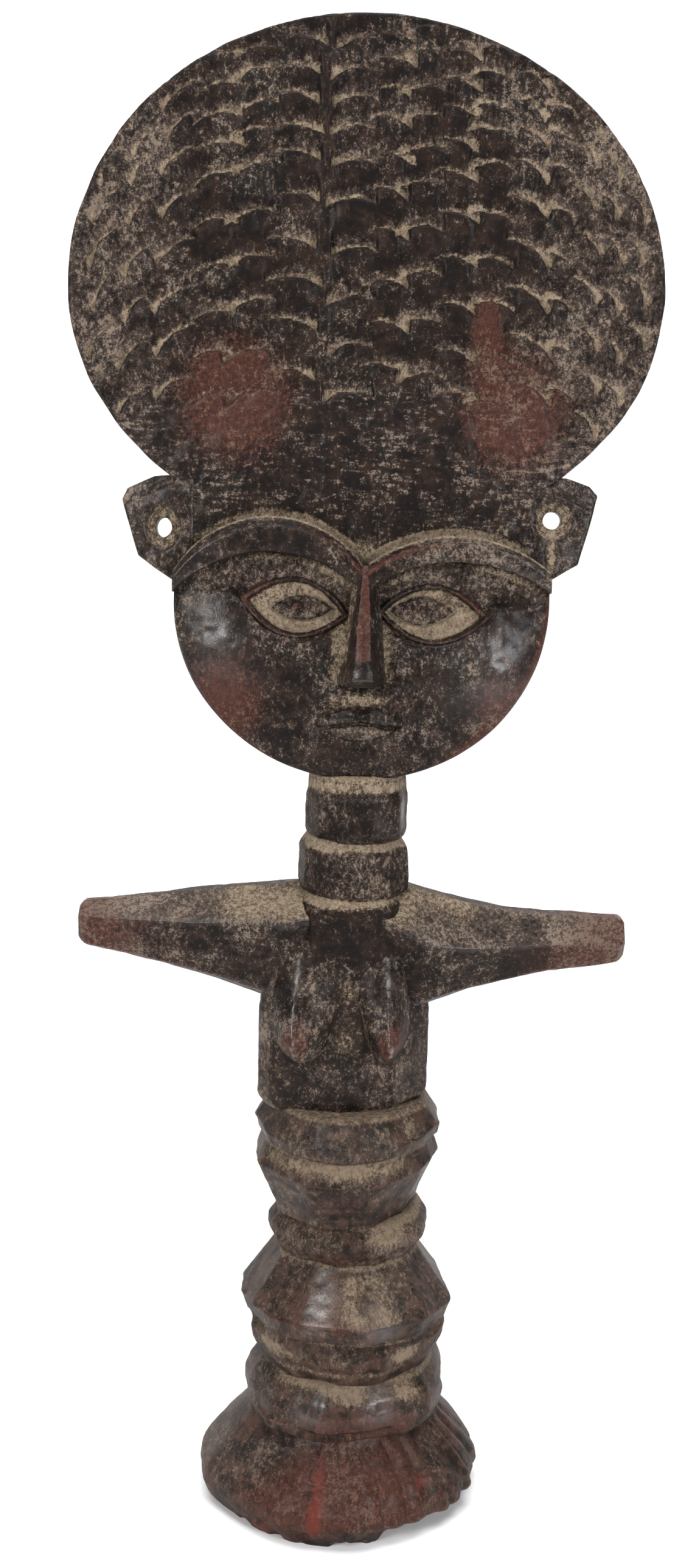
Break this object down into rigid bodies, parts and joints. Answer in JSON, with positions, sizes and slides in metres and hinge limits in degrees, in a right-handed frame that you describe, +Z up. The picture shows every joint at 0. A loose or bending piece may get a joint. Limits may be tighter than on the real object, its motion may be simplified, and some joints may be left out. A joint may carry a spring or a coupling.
{
  "type": "carved doll",
  "caption": "Standing carved wooden fertility doll with a flat round head, pierced ears, cone arms and a ringed body on a flared foot.",
  "frame": {"origin": "middle of the flat underside of the foot, where the doll's own axis meets the table", "axes": "+Z up the doll, -Y the way the face looks, +X the viewer's right when facing the doll"},
  "size_m": [0.1292, 0.0671, 0.3332],
  "materials": {
    "dark_wood": "blackened wood with a hand-worn sheen and pale residue in the grooves",
    "hair_wood": "blackened wood, gouge-cut, pale residue in the cuts",
    "worn_wood": "dark wood rubbed red-brown on the high spots",
    "raw_wood": "rough-hewn red-brown wood with worn dark stain"
  },
  "bodies": {
    "root": {"arm_left": "worn_wood", "arm_right": "worn_wood", "base_ring": "raw_wood", "breast_left": "worn_wood", "breast_right": "worn_wood", "brow_left": "dark_wood", "brow_right": "dark_wood", "ear_left": "dark_wood", "ear_right": "dark_wood", "eye_left": "dark_wood", "eye_right": "dark_wood", "face": "dark_wood", "foot": "raw_wood", "head_disc": "hair_wood", "hip_ring": "dark_wood", "mouth": "dark_wood", "neck_collar": "dark_wood", "neck_ring_lower": "dark_wood", "neck_ring_upper": "dark_wood", "nose": "dark_wood", "skirt_flare": "dark_wood", "skirt_ring": "dark_wood", "torso": "dark_wood", "waist_cone": "dark_wood", "waist_ring": "dark_wood"}
  },
  "joints": []
}
